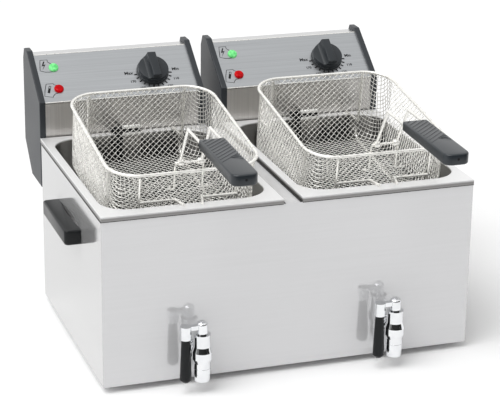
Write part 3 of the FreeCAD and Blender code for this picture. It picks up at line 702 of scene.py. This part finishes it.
# Lines printed by the lamps, in millimetres across and up the panel
GREEN_TAB = ((-95, 73), (-98, 75), (-101, 78), (-101, 82), (-112, 82), (-114.5, 68), (-115.5, 61.6),
             (-108, 58.6), (-101.8, 58), (-96, 58.6))
RED_TAB = ((-96, 32), (-99.5, 33), (-100.8, 35.6), (-111.5, 35.6), (-115.5, 24), (-118, 12.8),
           (-105.7, 9.7), (-104, 13), (-101, 16), (-96, 17.2))
BOLT = ((-106.5, 79), (-110.8, 70.6), (-107.4, 71.6), (-111, 63.4), (-105.6, 73), (-109, 72), (-106.5, 79))
GLASS = ((-106.6, 31.5), (-105.2, 30), (-109.4, 18.2), (-112, 19.2), (-107.8, 31), (-106.6, 31.5))
COLUMN = ((-110.6, 18.8), (-107.6, 27))
TAB_STROKE = 0.55 * MM
SIGN_STROKE = 1.1 * MM
LAMP_PRINT = {
    "_lamp_tabs": ((GREEN_TAB, RED_TAB, GLASS), TAB_STROKE),
    "_lamp_signs": ((BOLT, COLUMN), SIGN_STROKE),
}
PRINT_FLATNESS = 0.12


def dial_frame(unit):
    """The dial's own frame: its axis at the origin, Z out of the panel."""
    return panel_frame(unit) @ Matrix.Translation((KNOB_SIDE, KNOB_UP, 0))


def knob(side, unit):
    """A skirted disc with a bar across it, scooped along one side."""
    shape = bmesh.new()
    rod(shape, (0, 0, KNOB_GAP), KNOB_RADIUS, KNOB_SKIRT, 48)
    rod(shape, (0, 0, KNOB_GAP + KNOB_SKIRT), KNOB_RADIUS - KNOB_STEP, KNOB_DISC - KNOB_SKIRT, 48,
        KNOB_RADIUS - KNOB_DRAFT)
    soften(shape, sharp_edges(shape, 50), KNOB_ROUND, 2)
    deck = KNOB_GAP + KNOB_DISC - BAR_SINK
    left_foot, right_foot = BAR_FOOT
    left_crest, right_crest = BAR_CREST
    outline = [(left_foot, deck), (right_foot, deck), (right_crest, KNOB_TOP), (left_crest, KNOB_TOP)]
    outline += BAR_SCOOP
    corners = prism(shape, [(across, -BAR_TAIL, up) for across, up in outline], (0, BAR_LENGTH, 0))
    for corner in corners:
        limit = math.sqrt(max(KNOB_RADIUS ** 2 - corner.co.x ** 2, 0)) - BAR_INSET
        corner.co.y = math.copysign(min(abs(corner.co.y), limit), corner.co.y)
    crest = [edge for edge in shape.edges if all(end.co.z > KNOB_TOP - 0.1 * MM for end in edge.verts)]
    soften(shape, crest, KNOB_ROUND, 3)
    solid_piece(side + "_dial_knob", shape, dial_frame(unit), KNOB_PLASTIC, side + "_dial",
                side + "_knob")


def dial_ticks(side, unit):
    shape = bmesh.new()
    for number in range(TICKS):
        tick = block(shape, (TICK_START, -TICK_HALF, 0), (TICK_END, TICK_HALF, TICK_HEIGHT))
        turn = Matrix.Rotation(math.radians(TICK_FIRST + number * TICK_STEP), 3, "Z")
        bmesh.ops.rotate(shape, cent=(0, 0, 0), matrix=turn, verts=tick)
    solid_piece(side + "_dial_ticks", shape, dial_frame(unit), PRINT_INK, side + "_head")


def print_word(name, word, size, place, body):
    """Flat lettering as a thin raised mesh."""
    curve = bpy.data.curves.new(name, "FONT")
    curve.body = word
    curve.size = size
    curve.extrude = INK_HEIGHT
    curve.offset = INK_SPREAD
    curve.resolution_u = 2
    curve.align_x = "CENTER"
    curve.align_y = "CENTER"
    add_piece(name, mesh_from_curve(name, curve, place), PRINT_INK, body)


def dial_words(side, unit):
    for word, angle, reach, size in DIAL_WORDS:
        turn = math.radians(angle)
        spot = (reach * MM * math.cos(turn), reach * MM * math.sin(turn), 0)
        place = dial_frame(unit) @ Matrix.Translation(spot)
        print_word("%s_dial_%s" % (side, word.lower()), word, size * MM, place, side + "_head")


def lamp_tabs(side, unit):
    """Outlined tabs that run into the lamps, with a bolt on one and a thermometer on the other."""
    flat = panel_frame(unit) @ Matrix.Diagonal((1, 1, PRINT_FLATNESS, 1))
    for name, (lines, stroke) in LAMP_PRINT.items():
        runs = [[Vector((across * MM, up * MM, 0)) for across, up in line] for line in lines]
        mesh = wire_mesh(side + name, runs, stroke, flat, sides=6)
        add_piece(side + name, mesh, PRINT_INK, side + "_head")


def panel_fold_highlights(side, unit):
    """Painted highlights: bright wire lines along the folds at the foot and at the top of the panel, where
    the bends catch the light.
    """
    runs = [[Vector((end, up, -FOLD_SINK)) for end in (-FOLD_HALF, FOLD_HALF)] for up in FOLD_PLACES]
    mesh = wire_mesh(side + "_painted_fold_highlights", runs, FOLD_WIRE, panel_frame(unit), sides=8)
    add_piece(side + "_painted_fold_highlights", mesh, WIRE, side + "_head")


for side, unit in UNITS.items():
    knob(side, unit)
    dial_ticks(side, unit)
    dial_words(side, unit)
    lamp_tabs(side, unit)
    panel_fold_highlights(side, unit)

# Heater bracket with bars painted near white as a painted highlight, and dark pieces of painted shade by it,
# seen through the weave, across, back and up from each unit's middle
BRACKET_BARS = (263.5 * MM, 274 * MM)
BRACKET_LEFT = -11 * MM
BRACKET_RIGHT = 17 * MM
BRACKET_FRONT = 188.7 * MM
BRACKET_BACK = 194.5 * MM
BRACKET_BAR = 4.6 * MM
BRACKET_ROUND = 0.8 * MM
# The post, arm and bar below are painted shade: dark blocks put where there is only shadow
SHADE_FRONT = 189 * MM
SHADE_BACK = 194 * MM
SHADE_TOP = 278 * MM
SHADE_ROUND = 1.5 * MM
POST_SIDES = (-20 * MM, -12 * MM)
POST_FOOT = 215 * MM
ARM_SIDES = (-29 * MM, -17 * MM)
ARM_FOOT = 268 * MM
BACKING_FRONT = 190 * MM
BACKING_LOW = 267 * MM
BACKING_TOP = 275 * MM


def painted_shade_post(side, unit):
    """Painted shade: a dark post with an arm at its top where a tube lies in shadow, and a dark bar behind
    the bracket for the shade behind its bars.
    """
    shape = bmesh.new()
    for (left, right), foot in ((POST_SIDES, POST_FOOT), (ARM_SIDES, ARM_FOOT)):
        block(shape, (left, SHADE_FRONT, foot), (right, SHADE_BACK, SHADE_TOP))
    soften(shape, list(shape.edges), SHADE_ROUND, 2)
    block(shape, (BRACKET_LEFT, BACKING_FRONT, BACKING_LOW), (BRACKET_RIGHT, SHADE_BACK, BACKING_TOP))
    solid_piece(side + "_painted_shade_post", shape, Matrix.Translation((unit, 0, 0)), BLACK_PLASTIC,
                side + "_head")


def heater_bracket(side, unit):
    """Two bars, one over the other, coloured near white: a painted highlight for the shine of polished metal
    in the shade under the head.
    """
    shape = bmesh.new()
    for low in BRACKET_BARS:
        block(shape, (BRACKET_LEFT, BRACKET_FRONT, low), (BRACKET_RIGHT, BRACKET_BACK, low + BRACKET_BAR))
    soften(shape, list(shape.edges), BRACKET_ROUND, 2)
    solid_piece(side + "_heater_bracket", shape, Matrix.Translation((unit, 0, 0)), PAINTED_SHINE_BAR,
                side + "_head")


# Side handles: a rounded bar with a finger hollow behind it
handle_low, handle_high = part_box("side_handle_right")
HANDLE_OUT = handle_high.x - CASING_SIDE
HANDLE_NEAR = handle_low.y
HANDLE_FAR = handle_high.y
HANDLE_LOW = handle_low.z
HANDLE_TOP = handle_high.z
HANDLE_ROOF = 5 * MM
HANDLE_TAPER = 6 * MM
HOLLOW_LENGTH = 110 * MM
HOLLOW_DEPTH = 12 * MM
HOLLOW_PARTS = 10
ROOF_SLIT = 3 * MM
TOP_ROUND = 2.6 * MM
FOOT_ROUND = 4 * MM


def handle_layer(shape, depth, low, high):
    """One level of the handle: a bar with rounded ends and a shallow arc along the wall."""
    middle = (HANDLE_NEAR + HANDLE_FAR) / 2
    inner = HANDLE_OUT - HANDLE_TAPER
    outline = []
    for end, turn in ((HANDLE_NEAR, -1), (HANDLE_FAR, 1)):
        corner = [(inner + HANDLE_TAPER * math.sin(angle), end - turn * HANDLE_TAPER * (1 - math.cos(angle)))
                  for angle in QUARTER[::2]]
        outline += [(0, end)] + corner if turn < 0 else corner[::-1] + [(0, end)]
    for number in range(HOLLOW_PARTS + 1):
        part = 1 - 2 * number / HOLLOW_PARTS
        outline.append((depth * (1 - part * part), middle + part * HOLLOW_LENGTH / 2))
    prism(shape, [(out, along, low) for out, along in outline], (0, 0, high - low))


def rim_of(shape, height):
    """The outer edges of the handle at one height."""
    return [edge for edge in shape.edges
            if all(abs(end.co.z - height) < 0.1 * MM for end in edge.verts)
            and any(end.co.x > HANDLE_OUT / 2 + MM for end in edge.verts)]


def side_handle(side, unit):
    shape = bmesh.new()
    handle_layer(shape, ROOF_SLIT, HANDLE_TOP - HANDLE_ROOF, HANDLE_TOP)
    handle_layer(shape, HOLLOW_DEPTH, HANDLE_LOW, HANDLE_TOP - HANDLE_ROOF)
    soften(shape, rim_of(shape, HANDLE_TOP), TOP_ROUND, 4)
    soften(shape, rim_of(shape, HANDLE_LOW), FOOT_ROUND, 4)
    turn = math.copysign(1, unit)
    place = Matrix.Translation((turn * CASING_SIDE, 0, 0)) @ Matrix.Diagonal((turn, 1, 1, 1))
    solid_piece(side + "_side_handle", shape, place, BLACK_PLASTIC, "casing",
                "side_handle_" + side)


# Dark strips of painted shadow between the casing and each tank's rim, under the rim's overhang, and a dark
# line along the centre bridge
SHADOW_STRIP = 1.2 * MM
SHADOW_STRIP_PROUD = 0.6 * MM
SHADOW_STRIP_BACK = 215 * MM
SHADOW_STRIP_INNER = 14 * MM
RIM_RISE = 7 * MM
BRIDGE_LINE_OUTER = 13.4 * MM
BRIDGE_LINE_INNER = 10.6 * MM
BRIDGE_LINE_HALF = 0.4 * MM
BRIDGE_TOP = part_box("centre_bridge")[1].z


def rim_shadow_strips(side, unit):
    shape = bmesh.new()
    turn = math.copysign(1, unit)
    low = TANK_TOP - RIM_RISE - SHADOW_STRIP
    front = CASING_FRONT - SHADOW_STRIP_PROUD
    outer = CASING_SIDE + SHADOW_STRIP_PROUD
    # The first two strips are painted shadow under the rim's overhang; the third is the dark line on the
    # bridge
    strips = (
        ((outer, front, low), (SHADOW_STRIP_INNER, CASING_FRONT, low + SHADOW_STRIP)),
        ((outer, front, low), (CASING_SIDE, SHADOW_STRIP_BACK, low + SHADOW_STRIP)),
        ((BRIDGE_LINE_OUTER, CASING_FRONT, BRIDGE_TOP - BRIDGE_LINE_HALF), (BRIDGE_LINE_INNER, SHADOW_STRIP_BACK, BRIDGE_TOP + BRIDGE_LINE_HALF)),
    )
    for (first, near, bottom), (second, far, top) in strips:
        left, right = sorted((turn * first, turn * second))
        block(shape, (left, near, bottom), (right, far, top))
    solid_piece(side + "_rim_shadow_strips", shape, Matrix.Identity(4), RUBBER, "casing")


# Tap trim: collar ring, flange nut and screw head
TAP_SHIFT = 3 * MM
TAP_REACH = 31 * MM
RING_HEIGHT = 37 * MM
RING_RADIUS = 12.25 * MM
RING_WIDTH = 1.2 * MM
NUT_RADIUS = 15 * MM
NUT_DEPTH = 6 * MM
NUT_SEAT = 5.2 * MM
DRAIN_HEIGHT = 55 * MM
SCREW_HEIGHT = 105.2 * MM
SCREW_RADIUS = 4.2 * MM
SCREW_HEAD = 1.4 * MM
TRIM_ROUND = 0.4 * MM
SCREW_ROUND = 0.5 * MM


def tap_spot(unit, height):
    """A point on the tap's upright axis."""
    return (unit + TAP_SHIFT, CASING_FRONT - TAP_REACH, height)


def tap_trim(side, unit):
    shape = bmesh.new()
    rod(shape, tap_spot(unit, RING_HEIGHT), RING_RADIUS, RING_WIDTH, 40)
    front_rod(shape, (unit + TAP_SHIFT, CASING_FRONT - NUT_SEAT, DRAIN_HEIGHT), NUT_RADIUS, NUT_DEPTH, 6)
    soften(shape, sharp_edges(shape, 40), TRIM_ROUND, 2)
    solid_piece(side + "_tap_trim", shape, Matrix.Identity(4), CHROME, "casing")


def lever_screw(side, unit):
    shape = bmesh.new()
    rod(shape, tap_spot(unit, SCREW_HEIGHT), SCREW_RADIUS, SCREW_HEAD, 24)
    soften(shape, sharp_edges(shape, 40), SCREW_ROUND, 2)
    solid_piece(side + "_lever_screw", shape, Matrix.Identity(4), CHROME, side + "_tap")


for side, unit in UNITS.items():
    painted_shade_post(side, unit)
    heater_bracket(side, unit)
    side_handle(side, unit)
    rim_shadow_strips(side, unit)
    tap_trim(side, unit)
    lever_screw(side, unit)

# Floor, lights and camera, in metres
FLOOR_SIZE = 40
WORLD_LIGHT = 0.52
ROOM_DIM = 0.8
ROOM_TOP = (0.55, 0.25)
ROOM_EDGE = (0.2, -0.2)
KEY_SPOT = (-1.5, -0.7, 2.6)
KEY_STRENGTH = 2.1
KEY_SPREAD = math.radians(50)
DARK_CARDS = {
    "front_card": ((-2.0, -1.42, 0.0), (2.0, -1.4, 0.9)),
    "right_card": ((0.95, -1.4, 0.0), (0.97, -0.5, 0.8)),
}
CAMERA_SPOT = (-0.83967, -2.39342, 1.10783)
CAMERA_YAW = math.radians(-19.01019)
CAMERA_PITCH = math.radians(70.29968)
CAMERA_ROLL = math.radians(0.78021)
CAMERA_LENS = 133.65
CAMERA_SENSOR = 36


def studio_floor():
    bpy.ops.mesh.primitive_plane_add(size=FLOOR_SIZE)
    floor = bpy.context.object
    floor.name = "studio_floor"
    paint = Finish("studio_floor", 0.0, 0.9)
    paint.shades(paint.noise(2), grey(0.98), grey(1.0))
    floor.data.materials.append(paint.material)


def studio_world():
    """A white surround for the camera, less light on the part, and a dim room in the front reflections."""
    world = bpy.data.worlds.new("studio")
    scene.world = world
    world.use_nodes = True
    tree = world.node_tree

    def blend(operation, first, second):
        return sum_node(tree, operation, first, second, clamp=True)

    aim = tree.nodes.new("ShaderNodeSeparateXYZ")
    tree.links.new(tree.nodes.new("ShaderNodeTexCoord").outputs["Generated"], aim.inputs["Vector"])
    rays = tree.nodes.new("ShaderNodeLightPath").outputs
    below = span_node(tree, aim.outputs["Z"], *ROOM_TOP)
    ahead = span_node(tree, aim.outputs["Y"], *ROOM_EDGE)
    room = blend("MULTIPLY", blend("MULTIPLY", below, ahead), rays["Is Glossy Ray"])
    seen = blend("ADD", rays["Is Camera Ray"], rays["Is Glossy Ray"])
    seen = blend("ADD", seen, rays["Is Transmission Ray"])
    level = blend("ADD", blend("MULTIPLY", seen, 1 - WORLD_LIGHT), WORLD_LIGHT)
    level = blend("SUBTRACT", level, blend("MULTIPLY", room, ROOM_DIM))
    background = tree.nodes["Background"].inputs
    tree.links.new(level, background["Strength"])
    background["Color"].default_value = (1, 1, 1, 1)


def dark_card(name, low, high):
    """A dark flag beside the set that only shows in the bright metal."""
    shape = bmesh.new()
    block(shape, low, high)
    mesh = bpy.data.meshes.new(name)
    shape.to_mesh(mesh)
    shape.free()
    mesh.materials.append(CARD_CLOTH)
    card = bpy.data.objects.new(name, mesh)
    scene.collection.objects.link(card)
    card.visible_camera = False
    card.visible_diffuse = False
    card.visible_shadow = False


def key_light():
    """One wide sun from the upper left."""
    lamp = bpy.data.lights.new("key_light", "SUN")
    lamp.energy = KEY_STRENGTH
    lamp.angle = KEY_SPREAD
    holder = bpy.data.objects.new("key_light", lamp)
    holder.location = KEY_SPOT
    holder.rotation_euler = (-Vector(KEY_SPOT)).to_track_quat("-Z", "Y").to_euler()
    scene.collection.objects.link(holder)


def photo_camera():
    camera = bpy.data.cameras.new("photo_camera")
    camera.lens = CAMERA_LENS
    camera.sensor_width = CAMERA_SENSOR
    holder = bpy.data.objects.new("photo_camera", camera)
    holder.matrix_world = (Matrix.Translation(CAMERA_SPOT) @ Matrix.Rotation(CAMERA_YAW, 4, "Z")
                           @ Matrix.Rotation(CAMERA_PITCH, 4, "X") @ Matrix.Rotation(CAMERA_ROLL, 4, "Z"))
    scene.collection.objects.link(holder)
    scene.camera = holder


studio_floor()
studio_world()
for name, (low, high) in DARK_CARDS.items():
    dark_card(name, low, high)
key_light()
photo_camera()
